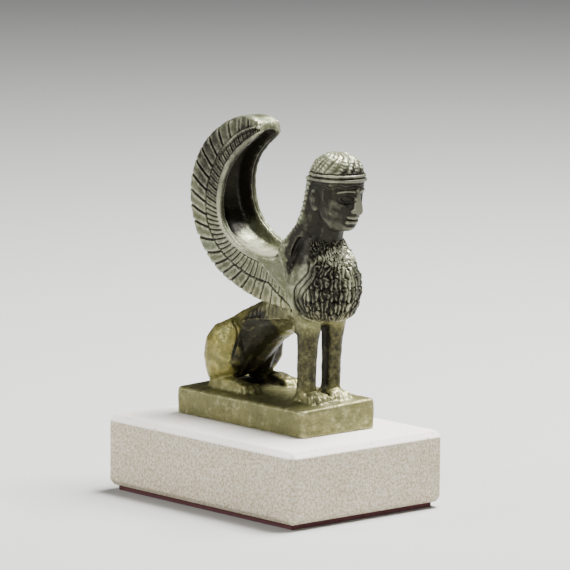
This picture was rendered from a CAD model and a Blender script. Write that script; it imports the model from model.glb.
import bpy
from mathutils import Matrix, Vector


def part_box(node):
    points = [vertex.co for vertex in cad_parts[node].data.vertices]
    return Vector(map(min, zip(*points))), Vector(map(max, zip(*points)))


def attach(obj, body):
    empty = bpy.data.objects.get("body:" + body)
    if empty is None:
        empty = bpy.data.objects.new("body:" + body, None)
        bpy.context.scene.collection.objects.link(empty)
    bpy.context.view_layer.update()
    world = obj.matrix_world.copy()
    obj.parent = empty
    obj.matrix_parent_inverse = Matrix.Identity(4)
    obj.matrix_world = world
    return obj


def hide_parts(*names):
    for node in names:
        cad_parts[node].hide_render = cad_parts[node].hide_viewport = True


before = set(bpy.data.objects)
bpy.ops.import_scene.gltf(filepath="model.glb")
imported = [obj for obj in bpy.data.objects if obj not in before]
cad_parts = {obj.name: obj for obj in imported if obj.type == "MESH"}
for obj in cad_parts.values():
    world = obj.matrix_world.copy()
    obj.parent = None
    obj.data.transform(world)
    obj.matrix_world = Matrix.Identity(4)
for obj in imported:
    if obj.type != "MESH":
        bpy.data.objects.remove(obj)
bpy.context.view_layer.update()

import math

import bmesh
import bpy
import numpy as np
from mathutils import Matrix, Vector
from mathutils.bvhtree import BVHTree

# The camera, the floor and the lights.
# The camera stands as far off and as low as the one in the photograph, turned to the figure's right side,
# and the light is soft: a broad key from the front right, a second light from behind on the left.
RIGHT = (0.74959572, -0.66185244, 0.00758918)
UP = (0.09552356, 0.1195189, 0.98822593)
BACK = (-0.65496679, -0.74004498, 0.15281336)
EYE = Vector((-0.90110348, -1.02215349, 0.27063328))

lens = bpy.data.cameras.new("lens")
lens.sensor_width = 36
lens.lens = 315.79
lens.clip_end = 100
camera = bpy.data.objects.new("camera", lens)
camera.matrix_world = Matrix.Translation(EYE) @ Matrix((RIGHT, UP, BACK)).transposed().to_4x4()
bpy.context.scene.collection.objects.link(camera)
bpy.context.scene.camera = camera


def linear(colour):
    """An sRGB colour, written in hex, as the linear colour and alpha that a shader takes."""
    parts = [int(colour[i:i + 2], 16) / 255 for i in (1, 3, 5)]
    return [c / 12.92 if c <= 0.04045 else ((c + 0.055) / 1.055) ** 2.4 for c in parts] + [1]


def add(tree, kind, links={}, **settings):
    """A new node: settings are its own properties, and links its inputs, as values or other nodes' outputs."""
    node = tree.nodes.new(kind)
    for name, value in settings.items():
        setattr(node, name, value)
    for name, value in links.items():
        if isinstance(value, bpy.types.NodeSocket):
            tree.links.new(value, node.inputs[name])
        else:
            node.inputs[name].default_value = value
    return node


def finish_of(name):
    """A new material and its node tree, with only its output in it."""
    material = bpy.data.materials.new(name)
    material.use_nodes = True
    tree = material.node_tree
    tree.nodes.remove(tree.nodes["Principled BSDF"])
    return material, tree


# Matt paint: it takes the soft shadow under the stone and shows no reflection of it.
floor_paint, tree = finish_of("pale matt floor paint")
shader = add(tree, "ShaderNodeBsdfPrincipled", {"Base Color": linear("#b6b6b4"), "Roughness": 0.9})
tree.links.new(shader.outputs["BSDF"], tree.nodes["Material Output"].inputs["Surface"])
sheet = bmesh.new()
bmesh.ops.create_grid(sheet, x_segments=1, y_segments=1, size=6)
floor = bpy.data.objects.new("floor", bpy.data.meshes.new("floor"))
sheet.to_mesh(floor.data)
sheet.free()
floor.data.materials.append(floor_paint)
bpy.context.scene.collection.objects.link(floor)

for name, place, size, power in (
    ("key", (0.3, -0.08, 0.9), 0.4, 44),
    ("back light", (-0.65, 0.45, 0.4), 0.3, 4.5),
    ("fill", (-0.85, -0.75, 0.22), 0.45, 5),
):
    lamp = bpy.data.lights.new(name, "AREA")
    lamp.size = size
    lamp.energy = power
    holder = bpy.data.objects.new(name, lamp)
    holder.location = place
    holder.rotation_euler = (Vector(place) - Vector((0, 0, 0.05))).to_track_quat("Z", "Y").to_euler()
    bpy.context.scene.collection.objects.link(holder)

world = bpy.data.worlds.new("soft grey room")
world.use_nodes = True
world.node_tree.nodes["Background"].inputs["Color"].default_value = linear("#b9bdc2")
world.node_tree.nodes["Background"].inputs["Strength"].default_value = 0.12
bpy.context.scene.world = world

# The sphinx and its slab, one lost-wax casting in bronze, chased by hand after it was cast.
# Its form is the solid's own, drawn in millimetres from the middle of the slab's top. It is smoothed
# as the wax was, and then the feathers, locks, braids, ribs and toes are cut into it.
SLAB_TOP = np.array((3.6, 2.1, 29.5))
WING = [  # outer y, outer z, rim y, rim z, half width
    [-14.5, 24.2, -9.5, 39.6, 7.9], [-8, 25, -4, 38.9, 8.3], [-1.2, 25.8, 0.6, 38.9, 8.4],
    [5.2, 27.2, 4.6, 39.7, 8.4], [12.4, 29.6, 8.6, 41.3, 8.3], [18.6, 32.5, 12, 43.2, 8.1],
    [24.2, 37, 14.8, 45.5, 7.8], [28.5, 42.4, 16.6, 48.2, 7.4], [31.1, 48, 17.5, 51.2, 7],
    [32.2, 53.5, 17.7, 54.5, 6.6], [31.9, 58.8, 17.1, 58.2, 6.1], [30.2, 63.7, 15.7, 61.5, 5.6],
    [27.2, 68.2, 13.6, 64.4, 5.2], [22.8, 71.9, 11.2, 66.7, 4.9], [17.5, 74.8, 8.6, 68.8, 4.7],
    [12, 76.2, 6.2, 70.4, 4.5], [7.6, 76, 5.2, 71.5, 4.4], [5.2, 74.6, 4.2, 72.2, 4.1],
]
BREAST = np.array([  # y, z, half width, half depth
    [-19.9, 22.3, 4.4, 4], [-19.9, 23.3, 6.4, 5.8], [-19.8, 26, 8.3, 7.8], [-19.7, 29.4, 9.1, 8.9],
    [-19.5, 33, 9.3, 9.2], [-19.1, 36.6, 8.8, 8.7], [-18.4, 40, 7.9, 7.8], [-17.6, 43, 6.6, 6.6],
    [-17, 45.6, 5.4, 5.6],
])
HAIR = [[0, -20.2, 61.4], [0, -19.6, 58.5], [0, -18.6, 55], [0, -17.2, 51], [0, -15.2, 47.2],
        [0, -12.4, 43.8], [0, -9.4, 40.2], [0, -8, 36]]
FINE = 0.42  # the spacing of the first mesh over the form, in mm
ROUNDS = 55  # of smoothing, over the solid's facets
MOST_FACES = 190000


def merged_copy(name, node):
    """A copy of a solid's mesh as a new piece, its loose triangles joined."""
    piece = bpy.data.objects.new(name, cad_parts[node].data.copy())
    piece.data.materials.clear()
    bpy.context.scene.collection.objects.link(piece)
    shell = bmesh.new()
    shell.from_mesh(piece.data)
    bmesh.ops.remove_doubles(shell, verts=shell.verts, dist=1e-6)
    shell.to_mesh(piece.data)
    shell.free()
    return piece


def reshape(piece, kind, **settings):
    """Puts a modifier on a piece and makes its result the piece's mesh."""
    modifier = piece.modifiers.new(kind, kind)
    for name, value in settings.items():
        setattr(modifier, name, value)
    seen = piece.evaluated_get(bpy.context.evaluated_depsgraph_get())
    mesh = bpy.data.meshes.new_from_object(seen)
    piece.modifiers.clear()
    piece.data = mesh


def points_of(mesh):
    """The mesh's points in drawn millimetres, from the middle of the slab's top."""
    points = np.empty(len(mesh.vertices) * 3)
    mesh.vertices.foreach_get("co", points)
    return points.reshape(-1, 3) * 1000 - SLAB_TOP


def set_points(mesh, points):
    """Moves the mesh's points to places in drawn millimetres."""
    mesh.vertices.foreach_set("co", ((points + SLAB_TOP) / 1000).ravel())
    mesh.update()


def normals_of(mesh):
    """Which way the surface faces at each point."""
    normals = np.empty(len(mesh.vertices) * 3, np.float32)
    mesh.vertex_normals.foreach_get("vector", normals)
    return normals.reshape(-1, 3).astype(float)


def edges_of(mesh):
    """The points at the two ends of each edge."""
    pairs = np.empty(len(mesh.edges) * 2, np.int32)
    mesh.edges.foreach_get("vertices", pairs)
    return pairs.reshape(-1, 2).T


def neighbours(values, ends, count):
    """The mean of each vertex's neighbours."""
    a, b = ends
    n = len(values)
    columns = values.reshape(n, -1)
    total = [np.bincount(a, c[b], n) + np.bincount(b, c[a], n) for c in columns.T]
    return (np.stack(total, 1) / count[:, None]).reshape(values.shape)


def rise(low, high, value):
    """0 below low, 1 above high, and a smooth slope between."""
    t = np.clip((value - low) / (high - low), 0, 1)
    return t * t * (3 - 2 * t)


def along(table, place):
    """The table's row at a place between its rows, on a smooth curve."""
    rows = np.array(table, float)
    i = np.clip(np.floor(place).astype(int), 0, len(rows) - 2)
    t = (place - i)[..., None]
    a, b, c, d = (rows[np.clip(i + k, 0, len(rows) - 1)] for k in (-1, 0, 1, 2))
    return 0.5 * (2 * b + (c - a) * t + (2 * a - 5 * b + 4 * c - d) * t**2 + (3 * b - a - 3 * c + d) * t**3)


def to_line(points, line):
    """How far each point is from a smooth line through some points, and how far along it."""
    line = along(line, np.linspace(0, len(line) - 1, 4 * len(line) - 3))
    best = np.full(len(points), 1e9)
    place = np.zeros(len(points))
    run = 0.0
    for start, end in zip(line[:-1], line[1:]):
        step = end - start
        length = np.linalg.norm(step)
        t = np.clip((points - start) @ step / length**2, 0, 1)
        far = np.linalg.norm(points - start - t[:, None] * step, axis=1)
        closer = far < best
        best[closer] = far[closer]
        place[closer] = run + t[closer] * length
        run += length
    return best, place, run


def groove(distance, half):
    """A round-bottomed cut, 1 in its middle and 0 at its edges."""
    return np.clip(1 - (distance / half) ** 2, 0, 1) ** 1.5


def mottle(points, size, seed):
    """A soft random rise and fall over the surface, in patches of about that size in mm."""
    random = np.random.default_rng(seed)
    total = 0
    for _ in range(9):
        way = random.normal(size=3)
        way *= 2 * math.pi / size / np.linalg.norm(way) * random.uniform(0.6, 1.5)
        total = total + np.sin(points @ way + random.uniform(0, 6.28))
    return total / 3


sphinx = merged_copy("sphinx_casting", "sphinx")
reshape(sphinx, "REMESH", mode="VOXEL", voxel_size=FINE / 1000, use_smooth_shade=True)
points = points_of(sphinx.data)
ends = edges_of(sphinx.data)
count = np.bincount(ends.ravel(), minlength=len(points)).astype(float)
x, y, z = points.T
# The body is smoothed most, the head and the paws least, and the slab keeps its edges.
ease = np.ones(len(points))
ease = np.minimum(ease, 1 - 0.8 * rise(43, 47, z) * (1 - rise(-13, -9, y)))
ease = np.minimum(ease, 1 - 0.8 * (1 - rise(3, 6, z)) * (1 - rise(-19, -17, y)))
ease = np.minimum(ease, 1 - 0.8 * (1 - rise(3, 5, z)) * (1 - rise(7, 9, y)) * rise(-4, 0, y))
ease = np.minimum(ease, 0.06 + 0.94 * rise(-0.3, 1.2, z))
for _ in range(ROUNDS):
    for step in (0.5, -0.53):
        points += step * ease[:, None] * (neighbours(points, ends, count) - points)
set_points(sphinx.data, points)
reshape(sphinx, "SUBSURF", levels=1, render_levels=1)

points = points_of(sphinx.data)
normals = normals_of(sphinx.data)
x, y, z = points.T
side = np.abs(normals[:, 0])
lift = np.zeros(len(points))

# The wings: a rounded rim with a fine line beside it, a row of short feathers and a row of long ones.
# A place on the side is given by w, 0 to 1 along the rim, and across, 0 at the rim to 1 at the outer edge.
LAST = len(WING) - 1
FEATHER_LEAN = 0.09  # how far the feathers lean towards the tip, as a share of the wing's length
CELL = 0.1  # mm
CORNER = (-18, 20)  # the lowest y and z of the grid over the wing's side, in mm
w, across = np.meshgrid(np.linspace(0, 1, 2800), np.linspace(0, 1.04, 700), indexing="ij")
near = LAST * w
far = near + LAST * FEATHER_LEAN * (1 - (2 * w - 1) ** 4)
band = 0.14 + 0.66 * np.maximum(0, 1 - near / 2) ** 1.3
place = near + (far - near) * np.maximum(0, (across - band) / (1 - band))
rows = along([row[:4] for row in WING], place)
flat = rows[..., 0:2] * across[..., None] + rows[..., 2:4] * (1 - across[..., None])
cells = np.floor((flat - CORNER) / CELL).astype(int)


def grid_of(values):
    """Values over the wing's side, on a grid of y and z."""
    grid = np.full((540, 600), np.nan)
    grid[cells[..., 0], cells[..., 1]] = values
    return grid


def read(grid):
    """The grid's value beside each point of the mesh."""
    f = np.clip((y - CORNER[0]) / CELL - 0.5, 0, len(grid) - 2)
    g = np.clip((z - CORNER[1]) / CELL - 0.5, 0, len(grid[0]) - 2)
    i, j = np.floor(f).astype(int), np.floor(g).astype(int)
    f, g = f - i, g - j
    low = grid[i, j] * (1 - g) + grid[i, j + 1] * g
    high = grid[i + 1, j] * (1 - g) + grid[i + 1, j + 1] * g
    return low * (1 - f) + high * f


def lines_of(values):
    """A value beside each point of the mesh, and how fast it changes over the wing's side, per mm."""
    grid = grid_of(values)
    return read(grid), read(np.hypot(*np.gradient(grid, CELL)))


# The cuts between the feathers are numbered, and each lies where its number is whole.
long_cut, long_slope = lines_of(np.interp(far, [0, 6, LAST], [-1.41, 8, 21.7]))
short_cut, short_slope = lines_of(np.interp(w, [0, 0.45, 1], [0, 23, 43]))
across, across_slope = lines_of(across)
w, place = read(grid_of(w)), read(grid_of(place))
on_wing = np.isfinite(long_cut * long_slope * short_cut * short_slope * across * across_slope * w * place)
long_cut, short_cut, across, w, place = (
    np.where(on_wing, values, 0.5) for values in (long_cut, short_cut, across, w, place))
long_slope, short_slope, across_slope = (
    np.where(on_wing, values, 1) for values in (long_slope, short_slope, across_slope))
half = along(WING, place)[:, 4]
on_wing = on_wing * rise(0.3, 0.55, side) * (1 - rise(1.2, 1.8, np.abs(np.abs(x) - half)))
band = 0.14 + 0.66 * np.maximum(0, 1 - LAST * w / 2) ** 1.3
row = np.minimum(0.9, np.maximum(np.interp(LAST * w, [6.5, 9.5], [0.53, 0.43]), band + 0.18))
from_rim = across / across_slope
past_band = (across - band) / across_slope
past_row = (across - row) / across_slope
to_edge = (1 - across) / across_slope
high = rise(0.55, 0.75, w)
from_long = np.abs(long_cut - np.round(long_cut)) / long_slope
from_short = np.abs(short_cut - np.round(short_cut)) / short_slope
on_long = rise(-0.1, 0.35, past_row - 0.5 * high) * (1 - high * (1 - rise(0.6, 2, to_edge)))
on_short = rise(0, 0.3, past_band) * (1 - rise(-0.3, 0, past_row))
wing = -0.65 * groove(from_long, 0.44 + 0.06 * high) * on_long
wing -= 0.5 * groove(from_short, 0.33) * on_short
wing -= 0.5 * groove(past_row, 0.4) * (1 - high)
wing += high * (0.3 * groove(past_row, 0.4) - 0.35 * groove(past_row + 0.75, 0.4))
wing -= 0.4 * groove(past_band, 0.33)
wing += 0.14 * np.cos((long_cut - np.round(long_cut)) * np.pi) * on_long
wing += 0.1 * np.cos((short_cut - np.round(short_cut)) * np.pi) * on_short
on_rim = rise(0.16, 0.24, w) * (1 - rise(0.97, 1, w))
wing += on_rim * 0.28 * np.sqrt(np.clip(1 - ((from_rim - 0.85) / 0.85) ** 2, 0, 1))
wing -= on_rim * 0.3 * groove(from_rim - 1.85, 0.28)
# The solid's own cuts are filled first, so that only the finer ones show.
flat = half - 0.5 * rise(-0.1, 0.1, past_band) - 0.3 * rise(0.85, 1, across) * rise(0.2, 0.9, across)
sink = on_wing * (1 - rise(0.93, 0.99, across)) * rise(0.02, 0.06, across)
points[:, 0] += np.sign(x) * sink * (flat - np.abs(x))
lift += on_wing * wing
both = np.stack([np.abs(x), y, z], 1)  # either side of the casting, as the one side that is drawn
from_lip, _, _ = to_line(both, [[half - 1.15, rim_y, rim_z] for _, _, rim_y, rim_z, half in WING[3:]])
lift -= 0.3 * groove(from_lip, 0.35)

# The breast: rows of pointed locks, finer towards the neck, with smooth bands at their sides.
ring = [np.interp(z, BREAST[:, 1], BREAST[:, k]) for k in (0, 2, 3)]
bearing = np.arctan2(x / ring[1], (ring[0] - y) / ring[2])
spread = np.hypot(x / ring[1], (y - ring[0]) / ring[2])
on_breast = rise(22.8, 23.8, z) * (1 - rise(44, 45.5, z))
on_breast *= rise(0.86, 0.93, spread) * (1 - rise(1.1, 1.2, spread))
near_band, _, _ = to_line(both, [
    [7.9, -20.7, 39.4], [8.6, -20.8, 36.6], [9.1, -18.6, 34.2], [8.5, -15.8, 31.9], [8.7, -15.5, 29.3],
    [8.7, -16.1, 27.2], [8.2, -17.2, 25.4]])
inner, _, _ = to_line(both, [
    [7.9, -22.4, 38.2], [8.5, -22.1, 35.8], [9.1, -20.6, 33.8], [9.1, -18.2, 31.3], [8.6, -17.1, 28.9],
    [8.4, -17.9, 27], [8, -19.1, 25.2]])
third, _, _ = to_line(both, [
    [7.3, -23.7, 37], [8.2, -23.2, 34.6], [9, -21.8, 32.7], [9.2, -19.7, 30.5], [8.9, -19.2, 28.5],
    [8.4, -19.8, 26]])
bands = 0.5 * groove(near_band, 0.45) + 0.45 * groove(inner, 0.4) + 0.45 * groove(third, 0.4)
behind = np.interp(
    z, [24, 27, 28.5, 30.5, 32.7, 34.6, 37, 45], [-19.8, -19.8, -19.2, -19.7, -21.8, -23.2, -23.7, -18])
on_locks = on_breast * (1 - rise(-0.5, 0.3, y - behind))
# The tiers of locks are 3.4 mm high at the bottom and 1.6 mm at the neck, where they are less regular.
steps = np.linspace(22, 46, 97)
runs = np.cumsum(0.25 / np.interp(steps, [24, 36, 40, 45], [3.4, 2.9, 2.2, 1.6]))
stir = rise(36, 40, z)
number = bearing * 9 / 1.35 * (1 + 0.35 * stir) + (0.22 + 0.25 * stir) * mottle(points, 3.2, 23)
column = np.round(number)
# Each lock has a column round the breast, a tier, and a place down from its tier's top.
level = 0.17 * mottle(points, 7, 21) + 0.2 * stir * mottle(points, 2.5, 22) - np.interp(z, steps, runs)
level += 0.2 * (column % 2) + 0.08 * np.sin(7 * column)
tier = np.floor(level)
down = level - tier
apart = np.abs(number - column) * 2
chance = np.sin(12.9898 * column + 78.233 * tier) * 43758.5453
chance = chance - np.floor(chance)
lock = np.clip(1 - (apart * (1 + 0.8 * down**3)) ** 2.2, 0, 1)
locks = (0.45 + 0.3 * chance) * lock * (0.7 + 0.3 * down) - 0.4 - 0.45 * rise(0.8, 1, down)
chisel = np.sin(2 * np.pi * (number * 2.1 + 0.8 * z + 0.6 * chance))
locks += 0.12 * mottle(points, 1.5, 5) + (0.08 + 0.1 * stir) * chisel
lift += on_locks * locks
lift -= bands * (1 - rise(40, 43, z))

# The chest's lower rim over each foreleg, the flank's line, the thigh's border and the shoulder's lines.
# Each has its depth, which is less than 0 for a ridge, and half its width, in mm.
for deep, half, line in (
    (-0.45, 0.5, [
        [7.9, -17.6, 24.6], [7.6, -18.7, 24], [6.6, -20.2, 23.4], [4.8, -21.4, 22.9], [4.4, -23.4, 23.2]]),
    (-0.08, 0.45, [[6.1, 9.3, 18], [6.1, 7.9, 19.6], [6.6, 3.2, 20.6], [6.6, -2.6, 21.3], [6.6, -8.3, 22.2]]),
    (-0.1, 0.7, [[6.3, 9, 17.4], [6.3, 6.4, 17], [6, 2.4, 18.5], [6.1, -2.1, 20]]),
    (0.35, 0.45, [
        [6.4, 12.4, 19.6], [7.5, 10.9, 18.6], [7.6, 9.4, 17], [8.3, 8.6, 13.6], [9.2, 8.9, 10.8],
        [9.4, 10.2, 7]]),
    (-0.15, 0.35, [[6.2, 11.6, 20], [7.1, 9.8, 18.4], [7.1, 8.2, 16.4]]),
    (0.4, 0.3, [[7.2, 1.2, 38.6], [7.3, -4, 38.2], [7.4, -11.9, 41.2]]),
):
    distance, place, run = to_line(both, line)
    lift -= deep * groove(distance, half) * rise(0, 1.5, place) ** 0.5 * rise(0, 1.5, run - place) ** 0.5

# The slot between the hair and the breast narrows downwards, and a small round dimple marks each elbow.
distance, place, run = to_line(both, [
    [6.9, -15.8, 44.6], [6.9, -14, 42.4], [6.8, -12.5, 39.4], [7.2, -12.2, 36.8]])
lift -= 0.8 * groove(distance, 1.3 - 1.0 * place / run)
lift -= 0.5 * groove(np.linalg.norm(both - (6.2, -13.5, 20), axis=1), 0.5)

# The ribs, short strokes on the flank under the wing.
cast = (y + 9) * 0.88 - (z - 26) * 0.47
stroke = cast / 1.7 + 0.25 * (z - 22)
on_ribs = rise(0.35, 0.6, side) * rise(20.8, 21.6, z + 0.12 * (y - 2)) * (1 - rise(25, 26.5, z))
on_ribs *= rise(-8, -6.5, y) * (1 - rise(5, 7.5, y))
on_ribs *= rise(4.6, 5.2, np.abs(x)) * (1 - rise(7.3, 7.6, np.abs(x)))
lift += on_ribs * 0.1 * (np.cos(2 * np.pi * stroke) - 0.2)

# The head's cap with its curved strands and double fillet, the hair at the brow and the braids behind.
head = rise(61.2, 61.6, z) * (1 - rise(-13.5, -12.5, y)) * rise(-34, -33, y)
spin = np.arctan2(x, -(y + 23.1))
on_cap = head * rise(63.9, 64.3, z)
strand = 9 * (spin + 0.05 * np.clip(70 - z, 0, 20) ** 1.35) + 0.45 * mottle(points, 4, 31)
lift += on_cap * (0.42 * np.abs(np.sin(strand)) ** 0.7 - 0.22) * (1 - rise(68.5, 69.3, z) * 0.5)
twist = np.sin(2 * np.pi * (z / 0.9 + 1.6 * spin) + mottle(points, 3, 32))
lift += on_cap * 0.09 * twist * np.abs(np.sin(strand))
fillet = head * (1 - rise(63.9, 64.1, z))
for deep, height, half in (
    (-0.32, 62.1, 0.6), (-0.26, 63.3, 0.5), (0.25, 62.75, 0.25), (0.3, 63.95, 0.3), (0.3, 61.35, 0.3),
):
    lift -= fillet * deep * groove(z - height, half)
brow_hair = rise(59.4, 59.8, z) * (1 - rise(61.1, 61.4, z)) * (1 - rise(-25, -23.5, y))
lift += brow_hair * 0.09 * np.sin(2 * np.pi * (z + 0.22 * np.sin(11 * spin)) / 0.8)
_, place, _ = to_line(np.stack([x * 0, y, z], 1), HAIR)
out = y - np.interp(z, [row[2] for row in HAIR[::-1]], [row[1] for row in HAIR[::-1]])
on_hair = rise(38.5, 40, z) * (1 - rise(61, 61.6, z)) * (1 - rise(8, 8.4, np.abs(x)))
on_hair *= rise(0, 0.8, out) * (1 - rise(6, 7, out))
braid = np.abs(np.cos(np.pi * x / 2.15)) ** 0.6
bead = np.abs(np.sin(np.pi * place / 1.5))
lift += on_hair * (0.6 * braid * (0.35 + 0.65 * bead) - 0.25)

# The face is calm and plain, on the usual proportions: the eyes at half the head's height, the brow, the
# base of the nose and the chin a third apart, and the eyes one eye's width apart.
BROW, EYES, NOSE, MOUTH = 58.9, 57.3, 53.35, 51.4
facing = rise(0.15, 0.5, -normals[:, 1]) * (1 - rise(-26.5, -25, y))
facing *= rise(48.5, 49.5, z) * (1 - rise(59.5, 60.5, z))
u = np.abs(x)
eye = np.hypot((u - 2.5) / 1.45, (z - EYES) / 0.8)
arch = BROW + 0.5 - 0.09 * (u - 2.6) ** 2
lip = MOUTH + 0.04 * u**2
# The sockets, the eyeballs between their lids, and the brows.
face = -0.8 * groove(np.hypot((u - 2.6) / 2.4, (z - EYES + 0.1) / 1.8), 1)
face += 0.55 * np.sqrt(np.clip(1 - eye**2, 0, 1))
face += 0.34 * groove(eye - 1.2, 0.25)
face -= 0.16 * groove(eye - 0.95, 0.14)
face += 0.4 * groove(z - arch, 0.45) * rise(0.5, 1, u) * (1 - rise(4.4, 5.2, u))
# The bridge of the nose, its wings and its nostrils.
bridge = rise(NOSE - 0.5, NOSE + 0.2, z) * (1 - 0.75 * rise(NOSE + 0.6, BROW, z))
face += 1.1 * groove(u, 1.5 - 0.08 * (z - NOSE)) * bridge
face += 0.35 * groove(np.hypot(u - 1.2, z - NOSE - 0.55), 0.75)
face -= 0.3 * groove(np.hypot(u - 0.65, z - NOSE + 0.1), 0.45)
# The lips, the dip under them and the corners of the mouth.
lips = 0.5 * groove(z - lip - 0.6, 0.6) + 0.55 * groove(z - lip + 0.7, 0.75) - 0.3 * groove(z - lip, 0.28)
face += lips * (1 - rise(1.7, 2.4, u))
face -= 0.25 * groove(np.hypot(u / 2.2, (z - MOUTH + 1.75) / 0.7), 1)
face -= 0.2 * groove(np.hypot((u - 2.5) / 0.7, z - lip), 0.9)
lift += facing * face

relief = sphinx.data.attributes.new("relief", "FLOAT", "POINT")
relief.data.foreach_set("value", lift.astype(np.float32))

# The cast skin is never quite even.
lift += 0.05 * mottle(points, 4, 1) + 0.015 * mottle(points, 1.3, 2)
points += lift[:, None] * normals
ends = edges_of(sphinx.data)
count = np.bincount(ends.ravel(), minlength=len(points)).astype(float)
points += 0.25 * (neighbours(points, ends, count) - points)
set_points(sphinx.data, points)
faces = sum(len(p.vertices) - 2 for p in sphinx.data.polygons)
reshape(sphinx, "DECIMATE", ratio=MOST_FACES / faces)
low, high = (1000 * np.array(corner) - SLAB_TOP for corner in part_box("sphinx"))
set_points(sphinx.data, np.clip(points_of(sphinx.data), low, high))

# How deep each point lies in the carving, and how closed in it is, for the patina that gathers there.
points, normals, ends = points_of(sphinx.data), normals_of(sphinx.data), edges_of(sphinx.data)
count = np.bincount(ends.ravel(), minlength=len(points)).astype(float)
soft, hollow = points.copy(), 0
for rounds in (3, 5):
    for _ in range(rounds):
        soft = neighbours(soft, ends, count)
    hollow = hollow + ((soft - points) * normals).sum(1) / rounds**0.5
carved = np.empty(len(points), np.float32)
sphinx.data.attributes["relief"].data.foreach_get("value", carved)
hollow = np.clip(0.5 - 0.6 * carved + 1.1 * hollow, 0, 1)
sphinx.data.attributes.remove(sphinx.data.attributes["relief"])
shell = BVHTree.FromObject(sphinx, bpy.context.evaluated_depsgraph_get())
random = np.random.default_rng(3)
ways = random.normal(size=(14, 3))
ways /= np.linalg.norm(ways, axis=1)[:, None]
picked = random.permutation(len(points))[:26000]
closed = np.full(len(points), np.nan)
for i in picked:
    out = normals[i]
    start = Vector((points[i] + SLAB_TOP + 0.15 * out) / 1000)
    hits = 0
    for way in ways:
        aim = out * 1.02 + way
        hits += shell.ray_cast(start, Vector(aim), 0.012)[0] is not None
    closed[i] = hits / len(ways)
known = np.isfinite(closed)
closed = np.where(known, closed, 0.0)
amount, value = known.astype(float), closed.copy()
for _ in range(6):
    amount = amount + neighbours(amount, ends, count)
    value = value + neighbours(value, ends, count)
closed = value / np.maximum(amount, 1e-6)
for _ in range(3):
    closed = neighbours(closed, ends, count)
x, y, z = points.T
# The patina is golden on the haunches and legs, and half as much on the slab.
golden = rise(-1, 6, z) * (1 - rise(16, 34, z)) * (0.6 + 0.4 * rise(-4, 4, y))
golden = np.clip(golden + 0.45 * (1 - rise(-1, 6, z)), 0, 1)
# Where the dark patina was left thickest, and, with a strength below 0, where it is worn off: how far it
# reaches in mm, how strong it is, and the line that it lies round.
both = np.stack([np.abs(x), y, z], 1)
dark = np.zeros(len(points))
for reach, strength, line in (
    (8, 1, [[0, -30, 60], [0, -29, 50]]),
    (6, 1, [[6, -23, 59], [6, -22, 53]]),
    (7, 1.4, [[0, -20, 50], [5, -17, 43]]),
    (3.4, 1.5, [[7, -15.9, 46.2], [6.9, -14.6, 42.6], [6.8, -13.2, 40.6]]),
    (1.6, 1.4, [[6.9, -13.6, 41.4], [6.8, -12.2, 38.3], [7.4, -12.4, 36.2]]),
    (6, 0.7, [[4.5, -16.8, 17], [4.5, -16.3, 7]]),
    (6.5, 0.8, [[7, -25, 35], [5, -26, 29]]),
    (4.5, 0.8, [[8, -19, 27], [3, -26, 26]]),
    (9, 1, [[6, 2, 17], [6, 6, 9]]),
    (5, 0.45, [[6, 6, 19], [6, -8, 22]]),
    (7, 1.3, [[0, 10, 70], [0, 16, 62], [0, 20, 54], [0, 18, 48]]),
    (8, 0.75, [[5, 24, 66], [6, 23, 58]]),
    (6, 0.55, [[5, 12, 72], [5, 20, 68]]),
    (5, 0.3, [[8, 0, 30], [8, 14, 34]]),
    (4, -0.35, [[4.2, -20, 1.5], [4.2, -23, 0.5]]),
    (8, 0.3, [[0, 4, 0], [0, -18, 0]]),
    (3.5, -0.6, [[0, -24, 41], [4, -25, 40]]),
    (4, -0.15, [[0, 4, 73], [0, 8, 77]]),
    (5, -0.5, [[0, 4, 39], [0, 14, 43]]),
    (5, -0.12, [[0, -26, 67], [0, -20, 68]]),
):
    away, _, _ = to_line(both, line)
    here = strength * np.clip(1.5 - 1.5 * (away / reach) ** 2, 0, 1)
    dark = np.where(np.abs(here) > np.abs(dark), here, dark)
thigh = rise(8.8, 9.8, y + 0.1 * (z - 12)) * rise(6.2, 7, np.abs(x)) * rise(2, 5, z) * (1 - rise(19, 21, z))
dark *= 1 - thigh
for name, values in (("hollow", hollow), ("closed", closed), ("golden", golden), ("dark", dark)):
    layer = sphinx.data.attributes.new(name, "FLOAT", "POINT")
    layer.data.foreach_set("value", values.astype(np.float32))
for polygon in sphinx.data.polygons:
    polygon.use_smooth = True

# Cast bronze, chemically patinated olive green and waxed: satin, bright on the rubbed high places
# and nearly black in the cuts, where the patina was left.
bronze, tree = finish_of("patinated cast bronze")
where = add(tree, "ShaderNodeTexCoord").outputs["Object"]
deep = add(tree, "ShaderNodeAttribute", attribute_name="hollow").outputs["Fac"]
shut = add(tree, "ShaderNodeAttribute", attribute_name="closed").outputs["Fac"]
warm = add(tree, "ShaderNodeAttribute", attribute_name="golden").outputs["Fac"]
laid = add(tree, "ShaderNodeAttribute", attribute_name="dark").outputs["Fac"]
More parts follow.
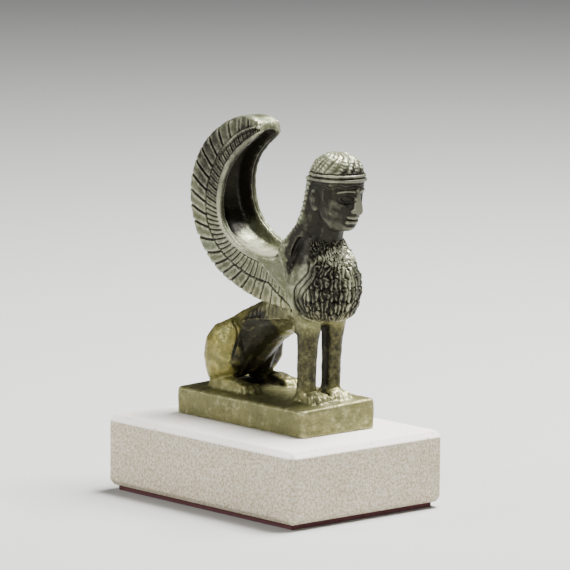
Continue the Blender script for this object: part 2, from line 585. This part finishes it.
# Patches of patina about 2 mm across, clouds of it about 9 mm, and the grain of the cast skin, drawn at
# 0.7 mm where the real one is finer, so that it shows.
patches, broad, grain = (
    add(tree, "ShaderNodeTexNoise", {
        "Vector": where, "Scale": 1000 / size, "Detail": fine, "Roughness": rough}).outputs["Fac"]
    for size, fine, rough in ((2.1, 5, 0.65), (9, 4, 0.6), (0.67, 3, 0.5)))
rubbed, worn = (
    add(tree, "ShaderNodeMix", {0: warm, 6: linear(grey), 7: linear(gold)}, data_type="RGBA").outputs[2]
    for grey, gold in (("#b4b59a", "#b9b06a"), ("#b7b69c", "#aaa05c")))
total = laid
for value, low, high, least, most in (
    (shut, 0.4, 1, 0, 1), (patches, 0.3, 0.7, -0.14, 0.14), (grain, 0.3, 0.7, -0.08, 0.08),
):
    more = add(tree, "ShaderNodeMapRange", {
        "Value": value, "From Min": low, "From Max": high, "To Min": least, "To Max": most})
    total = add(tree, "ShaderNodeMath", {0: total, 1: more.outputs["Result"]}, operation="ADD").outputs[0]
colour = linear("#686c55")
for value, low, high, most, tint in (
    (warm, 0, 1, 1, "#877d38"),  # golden low down
    (broad, 0.42, 0.7, 0.7, "#5f6140"),  # cloudy olive
    (patches, 0.5, 0.72, 0.45, "#4c4b2e"),  # small patches left darker
    (patches, 0.46, 0.3, 0.4, rubbed),  # and small patches rubbed
    (deep, 0.44, 0.2, 0.6, rubbed),  # the high places, rubbed by hands
    (total, -0.05, -0.7, 0.75, worn),  # worn almost clean
    (total, 0.1, 0.85, 0.97, "#17140c"),  # thick brown-black patina
    (deep, 0.42, 0.2, 0.3, rubbed),  # the rubbed edges show through it
    (deep, 0.56, 0.8, 0.95, "#15140e"),  # the bottoms of the cuts
    (grain, 0.55, 0.75, 0.4, "#2c2b1f"),  # the pores of the casting
):
    share = add(tree, "ShaderNodeMapRange", {
        "Value": value, "From Min": low, "From Max": high, "To Max": most}).outputs["Result"]
    tint = linear(tint) if isinstance(tint, str) else tint
    colour = add(tree, "ShaderNodeMix", {0: share, 6: colour, 7: tint}, data_type="RGBA").outputs[2]
rough = add(tree, "ShaderNodeMapRange", {
    "Value": patches, "From Min": 0.3, "From Max": 0.7, "To Min": 0.34, "To Max": 0.5}).outputs["Result"]
bump = add(tree, "ShaderNodeBump", {"Strength": 0.8, "Distance": 0.0002, "Height": grain}).outputs["Normal"]
shader = add(tree, "ShaderNodeBsdfPrincipled", {
    "Base Color": colour, "Metallic": 0.55, "Specular IOR Level": 0.35, "Roughness": rough, "Normal": bump})
tree.links.new(shader.outputs["BSDF"], tree.nodes["Material Output"].inputs["Surface"])
sphinx.data.materials.append(bronze)
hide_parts("sphinx")
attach(sphinx, "root")

# The block: cream limestone, sawn, chamfered on every edge and rubbed smooth by hand.
# Its edges are a little worn, and the casting stands on its top.
CHAMFER = 0.0016  # m
WORN_EDGE = 0.00028


def cut_block(name, node, *cuts):
    """A block the size of a node, with each of its edges cut, for each cut's width in metres and its steps."""
    low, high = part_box(node)
    shape = bmesh.new()
    bmesh.ops.create_cube(shape, size=1)
    bmesh.ops.scale(shape, vec=high - low, verts=shape.verts)
    bmesh.ops.translate(shape, vec=(low + high) / 2, verts=shape.verts)
    for width, steps in cuts:
        bmesh.ops.bevel(
            shape, geom=shape.edges[:], offset=width, offset_type="OFFSET", segments=steps, profile=0.5,
            affect="EDGES", material=-1)
    piece = bpy.data.objects.new(name, bpy.data.meshes.new(name))
    shape.to_mesh(piece.data)
    shape.free()
    bpy.context.scene.collection.objects.link(piece)
    return piece


stone = cut_block("limestone_block", "stone_base", (CHAMFER, 1), (WORN_EDGE, 3))
for polygon in stone.data.polygons:
    polygon.use_smooth = polygon.area < 1e-6

# Limestone, sawn and rubbed with fine grit: matt and even, with brown grains, paler ones and small pits.
limestone, tree = finish_of("rubbed cream limestone")
where = add(tree, "ShaderNodeTexCoord").outputs["Object"]
# Clouds about 11 mm across, pits about 3 mm apart, and the grains of the stone. They are drawn at 0.7 mm,
# where the real ones are finer, so that they show.
clouds = add(tree, "ShaderNodeTexNoise", {
    "Vector": where, "Scale": 1000 / 11, "Detail": 6, "Roughness": 0.65}).outputs["Fac"]
speckle = add(tree, "ShaderNodeTexNoise", {"Vector": where, "Scale": 1000 / 0.67, "Detail": 5}).outputs["Fac"]
pits = add(tree, "ShaderNodeTexVoronoi", {"Vector": where, "Scale": 1000 / 3}, feature="F1").outputs["Distance"]
height = add(tree, "ShaderNodeSeparateXYZ", {"Vector": where}).outputs["Z"]
colour = linear("#c0b59c")
for value, low, high, most, tint in (
    (clouds, 0.35, 0.65, 1, "#cdc3ac"),
    (clouds, 0.56, 0.66, 0.3, "#b09a7c"),
    (speckle, 0.5, 0.6, 0.75, "#a08d70"),
    (speckle, 0.46, 0.34, 0.6, "#e6dfd2"),
    (height, 0.0196, 0.0199, 0.75, "#f4f0e9"),  # the top, rubbed paler than the sawn sides
    (pits, 0.17, 0.1, 0.35, "#75674f"),
):
    share = add(tree, "ShaderNodeMapRange", {
        "Value": value, "From Min": low, "From Max": high, "To Max": most}).outputs["Result"]
    colour = add(tree, "ShaderNodeMix", {0: share, 6: colour, 7: linear(tint)}, data_type="RGBA").outputs[2]
bump = add(tree, "ShaderNodeBump", {"Strength": 0.3, "Distance": 0.0001, "Height": speckle}).outputs["Normal"]
shader = add(tree, "ShaderNodeBsdfPrincipled", {"Base Color": colour, "Roughness": 0.78, "Normal": bump})
tree.links.new(shader.outputs["BSDF"], tree.nodes["Material Output"].inputs["Surface"])
stone.data.materials.append(limestone)
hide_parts("stone_base")
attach(stone, "root")

# The pad under the block: dark red wool felt, cut a little smaller than the stone and glued to it.
# Its cut edges are soft, so they are slightly rounded.
felt = cut_block("felt_sheet", "felt_pad", (0.0003, 2))

# Pressed wool: deep red and dull, with a faint bloom of loose fibres.
wool, tree = finish_of("dark red wool felt")
where = add(tree, "ShaderNodeTexCoord").outputs["Object"]
# The fibres lie in tufts of about 0.4 mm.
fuzz = add(tree, "ShaderNodeTexNoise", {"Vector": where, "Scale": 1000 / 0.4, "Detail": 6}).outputs["Fac"]
colour = add(tree, "ShaderNodeMix", {
    0: fuzz, 6: linear("#2e0d11"), 7: linear("#5a1c22")}, data_type="RGBA").outputs[2]
bump = add(tree, "ShaderNodeBump", {"Strength": 0.6, "Distance": 0.0002, "Height": fuzz}).outputs["Normal"]
shader = add(tree, "ShaderNodeBsdfPrincipled", {
    "Base Color": colour, "Roughness": 0.95, "Sheen Weight": 0.3, "Normal": bump})
tree.links.new(shader.outputs["BSDF"], tree.nodes["Material Output"].inputs["Surface"])
felt.data.materials.append(wool)
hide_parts("felt_pad")
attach(felt, "root")
low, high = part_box("felt_pad")
